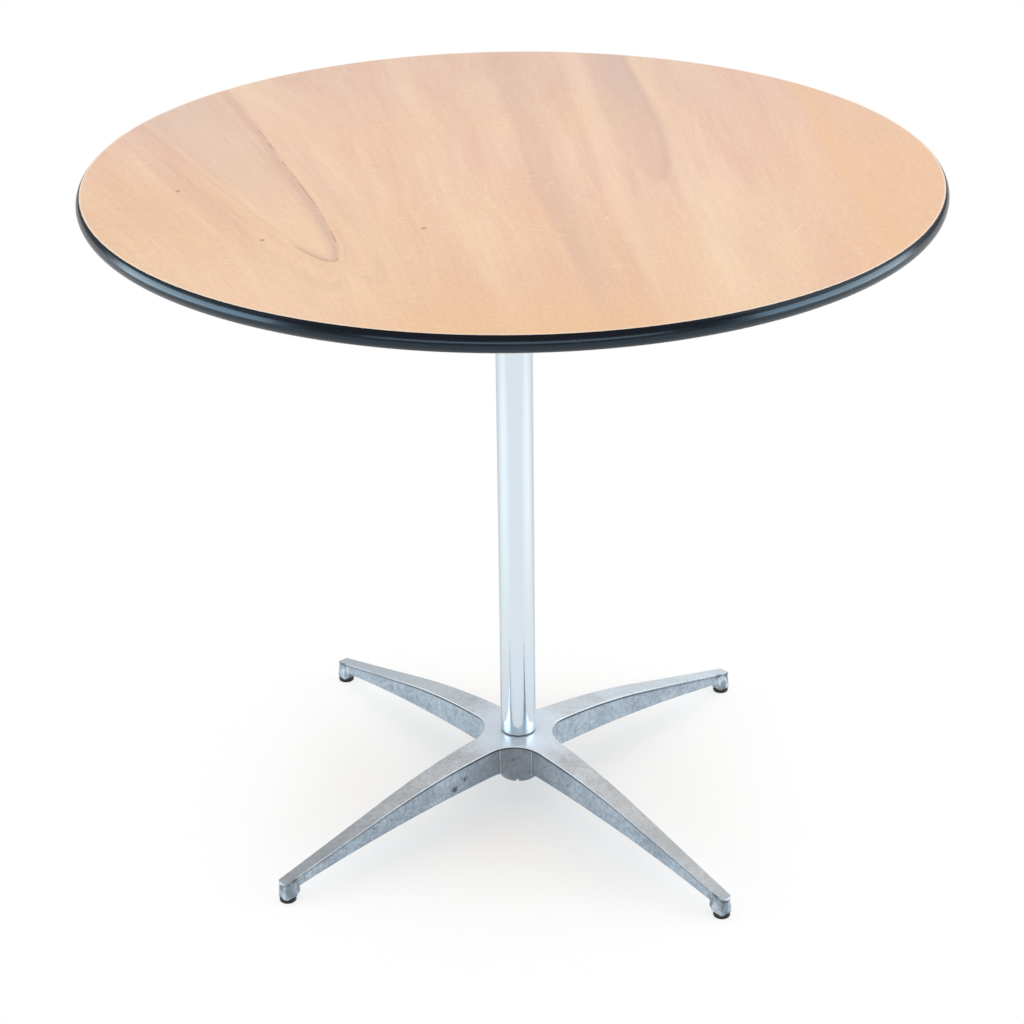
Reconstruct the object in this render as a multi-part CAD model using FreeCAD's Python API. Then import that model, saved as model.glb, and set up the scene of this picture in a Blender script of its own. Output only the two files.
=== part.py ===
import FreeCAD, Part
import math
import os

# A round cocktail table that screws together: plywood top, chrome column, cast four-arm base.
# Millimetres. Z is up, the origin is on the floor under the column, and the arms lie on the diagonals.

# Table top
TOP_DIAMETER = 914.4
PANEL_THICKNESS = 18.0
BAND_PROUD = 4.0
BAND_SEAM = 0.5
TONGUE_THICKNESS = 2.4
TONGUE_DEPTH = 9.0

# Spider under the top
SPIDER_HEIGHT = 28.0
SPIDER_PLATE = 6.0
SPIDER_BOSS_DIAMETER = 46.0
SPIDER_REACH = 132.0
SPIDER_ROOT_WIDTH = 36.0
SPIDER_TIP_WIDTH = 24.0
SPIDER_RIB_THICKNESS = 7.0
SPIDER_RIB_REACH = 80.0
SPIDER_RIB_SETBACK = 4.0

# Wood screws
SCREW_DIAMETER = 4.8
SCREW_HEAD_DIAMETER = 9.6
SCREW_HEAD_HEIGHT = 3.0
SCREW_HEAD_CHAMFER = 1.2
SCREW_BITE = 12.0
SCREW_POINT = 3.0
INNER_SCREW_RADIUS = 92.0
OUTER_SCREW_RADIUS = 119.0

# Column
TUBE_DIAMETER = 41.3
TUBE_WALL = 1.65
TUBE_EDGE = 0.4
COLUMN_LENGTH = 641.35
PLUG_LENGTH = 25.0
STUD_DIAMETER = 19.05
STUD_CHAMFER = 1.6
HEAD_STUD_REACH = 25.0
FOOT_STUD_REACH = 38.5
WASHER_DIAMETER = 43.0
WASHER_THICKNESS = 1.6

# Base casting, side view of an arm: a domed crown, then a straight run down to the tip
CROWN_HEIGHT = 84.6
CROWN_RADIUS = 871.0
CROWN_REACH = 200.0
SEAT_RADIUS = 26.0
ARM_REACH = 351.0
TIP_HEIGHT = 25.7
TIP_ROUND = 3.0
TIP_DEPTH = 13.0
UNDER_AT_HUB = 48.2
UNDER_AT_MIDDLE = 37.3

# Base casting, plan of an arm and section of its walls
ARM_ROOT_WIDTH = 38.0
ARM_MIDDLE_WIDTH = 23.0
ARM_TIP_WIDTH = 13.4
ARM_NOSE = 2.5
LIP_THICKNESS = 2.0
LIP_OVERHANG = 0.8
LIP_CORNER = 42.0
WALL_CORNER = 40.0
WALL_THICKNESS = 4.5
PLATE_THICKNESS = 7.0
CHANNEL_REACH = 262.0
CHANNEL_CORNER = 6.0
BOSS_DIAMETER = 46.5
BOSS_BOTTOM = 24.2
NOTCH_WIDTH = 3.5
NOTCH_HEIGHT = 2.5

# Foot bosses and levelling glides
FOOT_SETBACK = 9.0
FOOT_WIDTH = 16.5
FOOT_CORNER = 3.0
FOOT_LENGTH = 21.0
FOOT_KNEE_HEIGHT = 5.5
FOOT_NECK_CORNER = 4.5
PAD_DIAMETER = 19.0
PAD_THICKNESS = 5.5
PAD_SOLE = 1.8
PAD_EDGE = 0.8
STEM_DIAMETER = 6.35
STEM_LENGTH = 14.0
STEM_CHAMFER = 0.8
COLLAR_FLATS = 10.0
COLLAR_HEIGHT = 2.5
FLANGE_DIAMETER = 11.0
FLANGE_THICKNESS = 1.8

# Clearances: within a glued or pressed joint, on a thread, and round a loose or turning piece
PRESS_GAP = 0.05
THREAD_GAP = 0.1
LOOSE_GAP = 0.3

# Levels and radii that follow from the sizes above
SEAT_Z = CROWN_HEIGHT - CROWN_RADIUS + math.sqrt(CROWN_RADIUS ** 2 - SEAT_RADIUS ** 2)
TUBE_BOTTOM = SEAT_Z + WASHER_THICKNESS
TUBE_TOP = TUBE_BOTTOM + COLUMN_LENGTH
SPIDER_BOTTOM = TUBE_TOP + WASHER_THICKNESS
PANEL_BOTTOM = SPIDER_BOTTOM + SPIDER_HEIGHT
PANEL_TOP = PANEL_BOTTOM + PANEL_THICKNESS
PANEL_MIDDLE = PANEL_BOTTOM + PANEL_THICKNESS / 2
PLATE_BOTTOM = PANEL_BOTTOM - SPIDER_PLATE
PANEL_RADIUS = TOP_DIAMETER / 2 - BAND_PROUD
TUBE_INNER_RADIUS = TUBE_DIAMETER / 2 - TUBE_WALL
COLLAR_DIAMETER = COLLAR_FLATS / math.cos(math.radians(30))
COLLAR_TOP = PAD_THICKNESS + COLLAR_HEIGHT
STEM_TOP = COLLAR_TOP + STEM_LENGTH
CASTING_HEIGHT = CROWN_HEIGHT + PLATE_THICKNESS
FOOT_CIRCLE_RADIUS = ARM_REACH - FOOT_SETBACK

AXIS = FreeCAD.Vector(0, 0, 1)
ORIGIN = FreeCAD.Vector(0, 0, 0)
ARM_COUNT = 4
FIRST_ARM = 45.0
FEET = {"back_right": 0, "back_left": 1, "front_left": 2, "front_right": 3}


def at(x, y=0.0, z=0.0):
    return FreeCAD.Vector(x, y, z)


def line(start, end):
    return Part.LineSegment(start, end).toShape()


def arc(start, middle, end):
    return Part.Arc(start, middle, end).toShape()


def face(edges):
    return Part.Face(Part.Wire(edges))


def polygon(points):
    return Part.Face(Part.makePolygon(points + points[:1]))


def turned(section):
    """A section in the XZ plane, turned all the way round the Z axis."""
    return section.revolve(ORIGIN, AXIS, 360)


def rod(diameter, bottom, top, gap=0.0):
    """A round bar on the Z axis. The gap widens it all round, for the hole that takes it."""
    return Part.makeCylinder(diameter / 2 + gap, top - bottom, at(0, 0, bottom))


def ring(outer_diameter, inner_diameter, bottom, top):
    return rod(outer_diameter, bottom, top).cut(rod(inner_diameter, bottom, top))


def chamfered_rod(diameter, bottom, top, low_chamfer, high_chamfer):
    """A round bar on the Z axis with its two ends chamfered."""
    radius = diameter / 2
    points = [
        at(0, 0, bottom),
        at(radius - low_chamfer, 0, bottom),
        at(radius, 0, bottom + low_chamfer),
        at(radius, 0, top - high_chamfer),
        at(radius - high_chamfer, 0, top),
        at(0, 0, top),
    ]
    return turned(polygon(points))


def on_arm(shape, number):
    """A copy of a shape drawn along +X, turned onto one of the arms."""
    return shape.rotated(ORIGIN, AXIS, FIRST_ARM + number * 360 / ARM_COUNT)


def on_every_arm(shape):
    return [on_arm(shape, number) for number in range(ARM_COUNT)]


def fused(shapes):
    return shapes[0].multiFuse(shapes[1:]).removeSplitter()


# Table top

def screw_places():
    """Screw positions on an arm of the spider, drawn along +X."""
    return [at(INNER_SCREW_RADIUS), at(OUTER_SCREW_RADIUS)]


def for_each_screw(shape):
    """Copies of a shape drawn on the Z axis, one at each screw."""
    return [copy for place in screw_places() for copy in on_every_arm(shape.translated(place))]


def tongue_section(gap):
    """The strip of the edge band that goes into the panel's groove."""
    half = TONGUE_THICKNESS / 2 + gap
    inner = PANEL_RADIUS - TONGUE_DEPTH - gap
    outer = PANEL_RADIUS + BAND_PROUD / 2
    return polygon([
        at(inner, 0, PANEL_MIDDLE - half),
        at(outer, 0, PANEL_MIDDLE - half),
        at(outer, 0, PANEL_MIDDLE + half),
        at(inner, 0, PANEL_MIDDLE + half),
    ])


def tabletop_panel():
    disc = rod(2 * PANEL_RADIUS, PANEL_BOTTOM, PANEL_TOP)
    pilot = rod(SCREW_DIAMETER, PANEL_BOTTOM, PANEL_BOTTOM + SCREW_BITE, PRESS_GAP)
    return disc.cut(for_each_screw(pilot) + [turned(tongue_section(PRESS_GAP))])


def edge_band():
    """A bowed strip with a tongue behind it, bent round the panel and butted at the back."""
    inner = PANEL_RADIUS + PRESS_GAP
    low = at(inner, 0, PANEL_BOTTOM)
    high = at(inner, 0, PANEL_TOP)
    bow = face([arc(low, at(TOP_DIAMETER / 2, 0, PANEL_MIDDLE), high), line(high, low)])
    strip = turned(bow).fuse(turned(tongue_section(0.0))).removeSplitter()
    seam_start = PANEL_RADIUS - 2 * TONGUE_DEPTH
    seam = Part.makeBox(BAND_SEAM, TOP_DIAMETER - seam_start, PANEL_THICKNESS)
    return strip.cut(seam.translated(at(-BAND_SEAM / 2, seam_start, PANEL_BOTTOM)))


# Spider and its screws

def spider_arm():
    """A flat tapering arm with a round end, and the rib that stiffens it below."""
    root = SPIDER_ROOT_WIDTH / 2
    tip = SPIDER_TIP_WIDTH / 2
    shoulder = SPIDER_REACH - tip
    outline = face([
        line(at(0, -root), at(shoulder, -tip)),
        arc(at(shoulder, -tip), at(SPIDER_REACH), at(shoulder, tip)),
        line(at(shoulder, tip), at(0, root)),
        line(at(0, root), at(0, -root)),
    ])
    plate = outline.extrude(at(0, 0, SPIDER_PLATE)).translated(at(0, 0, PLATE_BOTTOM))
    middle = PANEL_BOTTOM - SPIDER_PLATE / 2
    rib = polygon([
        at(0, -SPIDER_RIB_THICKNESS / 2, SPIDER_BOTTOM + SPIDER_RIB_SETBACK),
        at(SPIDER_BOSS_DIAMETER / 2, -SPIDER_RIB_THICKNESS / 2, SPIDER_BOTTOM + SPIDER_RIB_SETBACK),
        at(SPIDER_RIB_REACH, -SPIDER_RIB_THICKNESS / 2, PLATE_BOTTOM),
        at(SPIDER_RIB_REACH, -SPIDER_RIB_THICKNESS / 2, middle),
        at(0, -SPIDER_RIB_THICKNESS / 2, middle),
    ]).extrude(at(0, SPIDER_RIB_THICKNESS))
    return plate.fuse(rib)


def top_spider():
    boss = rod(SPIDER_BOSS_DIAMETER, SPIDER_BOTTOM, PANEL_BOTTOM)
    bore = rod(STUD_DIAMETER, SPIDER_BOTTOM, PANEL_BOTTOM, THREAD_GAP)
    hole = rod(SCREW_DIAMETER, PLATE_BOTTOM, PANEL_BOTTOM, LOOSE_GAP)
    return fused([boss] + on_every_arm(spider_arm())).cut([bore] + for_each_screw(hole))


def spider_screws():
    """Pan-head wood screws, driven upwards through the spider into the panel."""
    shank = SCREW_DIAMETER / 2
    head = SCREW_HEAD_DIAMETER / 2
    crown = PLATE_BOTTOM - SCREW_HEAD_HEIGHT
    point = PANEL_BOTTOM + SCREW_BITE
    section = polygon([
        at(0, 0, crown),
        at(head - SCREW_HEAD_CHAMFER, 0, crown),
        at(head, 0, crown + SCREW_HEAD_CHAMFER),
        at(head, 0, PLATE_BOTTOM),
        at(shank, 0, PLATE_BOTTOM),
        at(shank, 0, point - SCREW_POINT),
        at(0, 0, point),
    ])
    return Part.makeCompound(for_each_screw(turned(section)))


# Column

def column_tube():
    outer = chamfered_rod(TUBE_DIAMETER, TUBE_BOTTOM, TUBE_TOP, TUBE_EDGE, TUBE_EDGE)
    return outer.cut(rod(2 * TUBE_INNER_RADIUS, TUBE_BOTTOM, TUBE_TOP))


def column_plug(bottom):
    outer = rod(2 * TUBE_INNER_RADIUS, bottom, bottom + PLUG_LENGTH, -PRESS_GAP)
    return outer.cut(rod(STUD_DIAMETER, bottom, bottom + PLUG_LENGTH, PRESS_GAP))


def head_stud():
    end = TUBE_TOP + HEAD_STUD_REACH
    return chamfered_rod(STUD_DIAMETER, TUBE_TOP - PLUG_LENGTH, end, 0.0, STUD_CHAMFER)


def foot_stud():
    end = TUBE_BOTTOM - FOOT_STUD_REACH
    return chamfered_rod(STUD_DIAMETER, end, TUBE_BOTTOM + PLUG_LENGTH, STUD_CHAMFER, 0.0)


def column_washer(bottom):
    return ring(WASHER_DIAMETER, STUD_DIAMETER + 2 * LOOSE_GAP, bottom, bottom + WASHER_THICKNESS)


# Base casting

def crown_z(reach):
    """Height of the domed crown at a distance from the axis."""
    return CROWN_HEIGHT - CROWN_RADIUS + math.sqrt(CROWN_RADIUS ** 2 - reach ** 2)


def dome(drop):
    """Everything under the arms' top line, lowered by a drop and turned round the axis."""
    slope = math.atan2(crown_z(CROWN_REACH) - TIP_HEIGHT, ARM_REACH - CROWN_REACH)
    tangent = TIP_ROUND * math.tan((math.pi / 2 - slope) / 2)
    round_start = at(ARM_REACH - tangent * math.cos(slope), 0, TIP_HEIGHT + tangent * math.sin(slope) - drop)
    round_end = at(ARM_REACH, 0, TIP_HEIGHT - tangent - drop)
    half_turn = slope + (math.pi / 2 - slope) / 2
    centre = at(ARM_REACH - TIP_ROUND, 0, round_end.z)
    round_middle = centre + at(TIP_ROUND * math.sin(half_turn), 0, TIP_ROUND * math.cos(half_turn))
    middle = (SEAT_RADIUS + CROWN_REACH) / 2
    seat_edge = at(SEAT_RADIUS, 0, SEAT_Z - drop)
    crown_end = at(CROWN_REACH, 0, crown_z(CROWN_REACH) - drop)
    return turned(face([
        line(ORIGIN, at(0, 0, SEAT_Z - drop)),
        line(at(0, 0, SEAT_Z - drop), seat_edge),
        arc(seat_edge, at(middle, 0, crown_z(middle) - drop), crown_end),
        line(crown_end, round_start),
        arc(round_start, round_middle, round_end),
        line(round_end, at(ARM_REACH)),
        line(at(ARM_REACH), ORIGIN),
    ]))


def arch():
    """The space under the arms, from the floor up to their lower edges."""
    high = at(0, 0, UNDER_AT_HUB)
    low = at(ARM_REACH, 0, TIP_HEIGHT - TIP_DEPTH)
    curve = arc(high, at(ARM_REACH / 2, 0, UNDER_AT_MIDDLE), low)
    return turned(face([curve, line(low, at(ARM_REACH)), line(at(ARM_REACH), ORIGIN), line(ORIGIN, high)]))


def arm_half_width(reach):
    """Half the arm's width at a distance from the axis, on the parabola through its three widths."""
    share = reach / ARM_REACH
    bend = 2 * ARM_ROOT_WIDTH - 4 * ARM_MIDDLE_WIDTH + 2 * ARM_TIP_WIDTH
    straight = ARM_TIP_WIDTH - ARM_ROOT_WIDTH - bend
    return (ARM_ROOT_WIDTH + straight * share + bend * share ** 2) / 2


def cross(inset, reach, corner):
    """A four-armed upright prism. The inset draws its sides in, and its inner corners are rounded."""
    nose = reach - ARM_NOSE
    root = arm_half_width(0) - inset
    middle = arm_half_width(nose / 2) - inset
    tip = arm_half_width(nose) - inset
    arm = face([
        arc(at(0, -root), at(nose / 2, -middle), at(nose, -tip)),
        arc(at(nose, -tip), at(reach), at(nose, tip)),
        arc(at(nose, tip), at(nose / 2, middle), at(0, root)),
        line(at(0, root), at(0, -root)),
    ]).extrude(at(0, 0, CASTING_HEIGHT))
    prism = fused(on_every_arm(arm))
    corners = [edge for edge in prism.Edges if is_inner_corner(edge)]
    return prism.makeFillet(corner, corners)


def is_inner_corner(edge):
    """True for the upright edges where two arms meet."""
    low, high = edge.BoundBox.ZMin, edge.BoundBox.ZMax
    middle = edge.CenterOfMass
    return high - low > CASTING_HEIGHT / 2 and math.hypot(middle.x, middle.y) < ARM_ROOT_WIDTH


def foot_boss():
    """A square post on the glide, which swells towards the hub and narrows again under the lip."""
    half = FOOT_WIDTH / 2
    inner = FOOT_CIRCLE_RADIUS - half
    outer = FOOT_CIRCLE_RADIUS + half
    neck_half = ARM_TIP_WIDTH / 2 - LOOSE_GAP
    neck_outer = ARM_REACH - LIP_OVERHANG - LOOSE_GAP
    neck_inner = neck_outer - FOOT_LENGTH
    neck_z = TIP_HEIGHT - LIP_THICKNESS
    knee_z = PAD_THICKNESS + FOOT_KNEE_HEIGHT
    sole = rounded_rectangle(inner, outer, half, FOOT_CORNER, PAD_THICKNESS)
    knee = rounded_rectangle(neck_inner, neck_outer, half, FOOT_CORNER, knee_z)
    neck = rounded_rectangle(neck_inner, neck_outer, neck_half, FOOT_NECK_CORNER, neck_z)
    post = Part.makeLoft([sole, knee, neck], True, True)
    root = Part.Face(neck).extrude(at(0, 0, CROWN_HEIGHT - neck_z))
    return fused([post, root]).common(dome(LIP_THICKNESS / 2))


def rounded_rectangle(x_low, x_high, half, corner, z):
    """A level outline, centred on the X axis, with rounded corners."""
    knee = corner * (1 - math.sqrt(0.5))
    edges = []
    points = []
    for x, x_way, y_way in ((x_high, -1, -1), (x_high, -1, 1), (x_low, 1, 1), (x_low, 1, -1)):
        along = at(x + x_way * corner, y_way * half, z)
        across = at(x, y_way * (half - corner), z)
        bend = at(x + x_way * knee, y_way * (half - knee), z)
        start, end = (along, across) if x_way * y_way > 0 else (across, along)
        points.append((start, bend, end))
    for number, (start, bend, end) in enumerate(points):
        edges.append(arc(start, bend, end))
        edges.append(line(end, points[(number + 1) % len(points)][0]))
    return Part.Wire(edges)


def glide_hole():
    """The tapped hole in a foot, with a recess at its mouth for the stem's collar."""
    tapped = rod(STEM_DIAMETER, PAD_THICKNESS, STEM_TOP + LOOSE_GAP, THREAD_GAP)
    recess = rod(COLLAR_DIAMETER, PAD_THICKNESS, COLLAR_TOP + LOOSE_GAP, LOOSE_GAP)
    return tapped.fuse(recess).translated(at(FOOT_CIRCLE_RADIUS))


def base_casting():
    lip = cross(0.0, ARM_REACH, LIP_CORNER).common(dome(0.0).cut(dome(LIP_THICKNESS)))
    walls = cross(LIP_OVERHANG, ARM_REACH - LIP_OVERHANG, WALL_CORNER)
    walls = walls.common(dome(LIP_THICKNESS / 2).cut(arch()))
    boss_top = SEAT_Z - LIP_THICKNESS
    boss = rod(BOSS_DIAMETER, BOSS_BOTTOM, boss_top)
    channel = cross(LIP_OVERHANG + WALL_THICKNESS, CHANNEL_REACH, CHANNEL_CORNER)
    channel = channel.common(dome(PLATE_THICKNESS)).cut(boss)
    bore = rod(STUD_DIAMETER, BOSS_BOTTOM, SEAT_Z, THREAD_GAP)
    notch = Part.makeBox(NOTCH_WIDTH, BOSS_DIAMETER / 2, NOTCH_HEIGHT)
    notch = notch.translated(at(-NOTCH_WIDTH / 2, -BOSS_DIAMETER / 2, BOSS_BOTTOM))
    body = fused([walls, lip]).cut(channel)
    body = fused([body, boss] + on_every_arm(foot_boss()))
    return body.cut([bore, notch] + on_every_arm(glide_hole()))


# Levelling glides

def glide_pad():
    """A round pad, hollow inside for the flange of the stem that swivels in it."""
    radius = PAD_DIAMETER / 2
    flange = FLANGE_DIAMETER / 2 + LOOSE_GAP
    neck = STEM_DIAMETER / 2 + LOOSE_GAP
    roof = PAD_SOLE + FLANGE_THICKNESS + LOOSE_GAP
    return turned(polygon([
        at(0, 0, 0),
        at(radius - PAD_EDGE, 0, 0),
        at(radius, 0, PAD_EDGE),
        at(radius, 0, PAD_THICKNESS - PAD_EDGE),
        at(radius - PAD_EDGE, 0, PAD_THICKNESS),
        at(neck, 0, PAD_THICKNESS),
        at(neck, 0, roof),
        at(flange, 0, roof),
        at(flange, 0, PAD_SOLE),
        at(0, 0, PAD_SOLE),
    ]))


def glide_stem():
    """A threaded stem with a hex collar above the pad and a flange inside it."""
    corner = at(COLLAR_DIAMETER / 2, 0, PAD_THICKNESS)
    sixth = FreeCAD.Rotation(AXIS, 60)
    hexagon = [corner]
    while len(hexagon) < 6:
        hexagon.append(sixth.multVec(hexagon[-1]))
    collar = polygon(hexagon).extrude(at(0, 0, COLLAR_HEIGHT))
    stem = chamfered_rod(STEM_DIAMETER, PAD_SOLE, STEM_TOP, 0.0, STEM_CHAMFER)
    flange = rod(FLANGE_DIAMETER, PAD_SOLE, PAD_SOLE + FLANGE_THICKNESS)
    return fused([stem, collar, flange])


def table():
    """Every piece of the table by name, each in its place."""
    pieces = {
        "tabletop_panel": tabletop_panel(),
        "edge_band": edge_band(),
        "top_spider": top_spider(),
        "spider_screws": spider_screws(),
        "head_washer": column_washer(TUBE_TOP),
        "column_tube": column_tube(),
        "column_head_plug": column_plug(TUBE_TOP - PLUG_LENGTH),
        "column_foot_plug": column_plug(TUBE_BOTTOM),
        "head_stud": head_stud(),
        "foot_stud": foot_stud(),
        "foot_washer": column_washer(SEAT_Z),
        "base_casting": base_casting(),
    }
    for place, number in FEET.items():
        pieces["glide_pad_" + place] = on_arm(glide_pad().translated(at(FOOT_CIRCLE_RADIUS)), number)
        pieces["glide_stem_" + place] = on_arm(glide_stem().translated(at(FOOT_CIRCLE_RADIUS)), number)
    return pieces


os.makedirs("parts", exist_ok=True)
for name, shape in table().items():
    shape.exportStep("parts/" + name + ".step")
    print(name, len(shape.Solids), "solids, volume", round(shape.Volume), "valid", shape.isValid())
print("height", round(PANEL_TOP, 2))
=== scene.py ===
"""Finishes, threads and studio for a round cocktail table on a screw-together pedestal.

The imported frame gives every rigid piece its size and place. This script adds the veneer, the bowed vinyl
band, the chrome tube, the threads, the moulded pads and the studio, in metres, with Z up and the floor at
zero.
"""

import math
from functools import reduce

import bmesh
import bpy
import numpy as np
from bpy.props import FloatProperty, FloatVectorProperty, PointerProperty
from mathutils import Matrix, Vector


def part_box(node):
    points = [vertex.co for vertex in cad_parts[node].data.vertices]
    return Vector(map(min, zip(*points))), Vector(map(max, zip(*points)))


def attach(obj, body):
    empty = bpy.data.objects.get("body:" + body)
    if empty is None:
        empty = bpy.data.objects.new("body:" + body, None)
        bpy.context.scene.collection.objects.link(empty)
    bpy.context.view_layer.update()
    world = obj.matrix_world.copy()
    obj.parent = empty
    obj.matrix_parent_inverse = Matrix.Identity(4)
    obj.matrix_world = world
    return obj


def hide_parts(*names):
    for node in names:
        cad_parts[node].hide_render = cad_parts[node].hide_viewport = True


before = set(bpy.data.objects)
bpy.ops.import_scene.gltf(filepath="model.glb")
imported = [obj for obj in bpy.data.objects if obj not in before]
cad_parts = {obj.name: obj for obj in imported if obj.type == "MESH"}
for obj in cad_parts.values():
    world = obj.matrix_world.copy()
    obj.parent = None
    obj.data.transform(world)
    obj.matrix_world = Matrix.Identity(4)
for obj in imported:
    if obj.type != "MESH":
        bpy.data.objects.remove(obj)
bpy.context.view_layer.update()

bl_info = {
    "name": "Cocktail table",
    "version": (1, 0, 0),
    "blender": (4, 5, 0),
    "location": "View3D > Sidebar > Cocktail table",
    "description": "Dresses a round pedestal table with its finishes, threads and studio",
    "category": "Object",
}

PLACES = ("front_left", "front_right", "back_left", "back_right")
TURN = 2 * math.pi

# Sizes of details that the frame's boxes don't give, in metres
PRESS_GAP = 0.00005
LOOSE_GAP = 0.0003
BAND_EDGE = 0.0003
BAND_SEAM = 0.0005
TONGUE_THICKNESS = 0.0024
TONGUE_DEPTH = 0.009
TUBE_EDGE = 0.0006
SMALL_EDGE = 0.0002
STUD_CHAMFER = 0.0016
WASHER_EDGE = 0.0005
WASHER_INSET = 0.0005
CROWN_HEIGHT = 0.0846
CROWN_RADIUS = 0.871
CROWN_REACH = 0.200
LIP_THICKNESS = 0.0020
STEM_RADIUS = 0.003175
STEM_CHAMFER = 0.0008
FLANGE_RADIUS = 0.0055
FLANGE_THICKNESS = 0.0018
FLANGE_EDGE = 0.0003
COLLAR_FLATS = 0.010
COLLAR_HEIGHT = 0.0025
COLLAR_EDGE = 0.0004
SCREW_RADIUS = 0.0024
SCREW_PITCH = 0.0019
SCREW_POINT = 0.0024
SCREW_PLAIN_END = 0.002
SCREW_CIRCLES = (0.092, 0.119)
HEAD_RADIUS = 0.0048
HEAD_HEIGHT = 0.003
HEAD_CROWN = 0.0024
RECESS_HALF_WIDTH = 0.0007
RECESS_REACH = 0.0029
RECESS_DEPTH = 0.0016
RECESS_FADE = 0.0045

# Shape of a thread: depth as a share of the pitch, rows of points in a pitch, and its groove
THREAD_DEPTH = 0.54
THREAD_ROWS = 10
GROOVE_LEVEL = 1.15
GROOVE_SLOPE = 2.6

# Screws on each circle, and how round their domes are
SCREWS_ON_CIRCLE = 4
HEAD_ROUNDNESS = 0.84

# Points on an eased corner, and steps round and along the new surfaces
EASE_STEPS = 5
BAND_STEPS = 481
BOW_POINTS = 25
BARBS = 6
TUBE_STEPS = 192
TUBE_ROWS = 41
STUD_STEPS = 48
WASHER_STEPS = 128
PAD_STEPS = 72
STEM_STEPS = 32
FLANGE_STEPS = 48
COLLAR_SIDES = 6
HEAD_STEPS = 48
HEAD_RINGS = 15
SCREW_STEPS = 24

# Angles in degrees above which an edge stays sharp: plain pieces, the band and threads
PLAIN_SHARP = 35.0
BAND_SHARP = 50.0
THREAD_SHARP = 25.0

# Distances in metres below which points are welded and slivers are dissolved
WELD_DISTANCE = 1e-7
SLIVER_DISTANCE = 1e-8


def srgb(red, green, blue):
    """A colour on the 0 to 255 display scale as linear light."""
    shares = [value / 255 for value in (red, green, blue)]
    return tuple(s / 12.92 if s <= 0.04045 else ((s + 0.055) / 1.055) ** 2.4 for s in shares)


def radius_of(node):
    """Half the width of a round node."""
    low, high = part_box(node)
    return (high.x - low.x) / 2


# Sizes and colours that a user would change

class TableSizes(bpy.types.PropertyGroup):
    """Sizes of the pieces that are modelled here."""
    band_barb: FloatProperty(
        name="Band barb", description="How far the barbs stand out from the band's tongue",
        default=0.0004, unit="LENGTH", subtype="DISTANCE", precision=5)
    stud_pitch: FloatProperty(
        name="Stud pitch", description="Pitch of the thread on the column's studs",
        default=0.00254, unit="LENGTH", subtype="DISTANCE", precision=5)
    glide_pitch: FloatProperty(
        name="Glide pitch", description="Pitch of the thread on the glides' stems",
        default=0.00127, unit="LENGTH", subtype="DISTANCE", precision=5)
    pad_round: FloatProperty(
        name="Pad rounding", description="Rounding of the glide pads' rims",
        default=0.0014, unit="LENGTH", subtype="DISTANCE", precision=5)
    grain_angle: FloatProperty(
        name="Grain angle", description="Direction of the veneer's grain, seen from above",
        default=math.radians(-76), unit="ROTATION", subtype="ANGLE")


class TableColours(bpy.types.PropertyGroup):
    """Colours of the finishes."""
    veneer: FloatVectorProperty(
        name="Veneer", description="Main colour of the lacquered veneer",
        subtype="COLOR", size=3, min=0, max=1, default=srgb(244, 208, 182))
    veneer_warm: FloatVectorProperty(
        name="Veneer, warm streaks", description="Yellow streaks of the veneer",
        subtype="COLOR", size=3, min=0, max=1, default=srgb(244, 197, 146))
    veneer_pale: FloatVectorProperty(
        name="Veneer, pale streaks", description="Pale streaks beside the loops of the figure",
        subtype="COLOR", size=3, min=0, max=1, default=srgb(251, 221, 190))
    veneer_rose: FloatVectorProperty(
        name="Veneer, rose streaks", description="Pink streaks of the veneer",
        subtype="COLOR", size=3, min=0, max=1, default=srgb(237, 192, 168))
    veneer_heart: FloatVectorProperty(
        name="Veneer, heart", description="Mauve heartwood inside the loops of the figure",
        subtype="COLOR", size=3, min=0, max=1, default=srgb(215, 179, 161))
    veneer_cool: FloatVectorProperty(
        name="Veneer, cool haze", description="Lilac grey of the veneer towards the back and inside the loop",
        subtype="COLOR", size=3, min=0, max=1, default=srgb(216, 189, 178))
    veneer_line: FloatVectorProperty(
        name="Veneer, dark line", description="Thin dark growth line and pin knots",
        subtype="COLOR", size=3, min=0, max=1, default=srgb(150, 108, 86))
    vinyl: FloatVectorProperty(
        name="Vinyl", description="Black of the edge band",
        subtype="COLOR", size=3, min=0, max=1, default=srgb(24, 26, 30))
    chrome: FloatVectorProperty(
        name="Chrome", description="Tint of the plated column",
        subtype="COLOR", size=3, min=0, max=1, default=srgb(234, 246, 255))
    casting_top: FloatVectorProperty(
        name="Casting, brushed", description="Brushed upper faces of the base",
        subtype="COLOR", size=3, min=0, max=1, default=srgb(210, 218, 226))
    casting_side: FloatVectorProperty(
        name="Casting, as cast", description="Rough blue-grey sides of the base",
        subtype="COLOR", size=3, min=0, max=1, default=srgb(177, 190, 202))
    casting_stain: FloatVectorProperty(
        name="Casting, stains", description="Pits and dark casting stains",
        subtype="COLOR", size=3, min=0, max=1, default=srgb(92, 97, 101))
    zinc: FloatVectorProperty(
        name="Zinc", description="Plated studs, stems, plugs and screws",
        subtype="COLOR", size=3, min=0, max=1, default=srgb(190, 192, 188))
    nylon: FloatVectorProperty(
        name="Nylon", description="Black of the pads and washers",
        subtype="COLOR", size=3, min=0, max=1, default=srgb(14, 14, 16))


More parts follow.
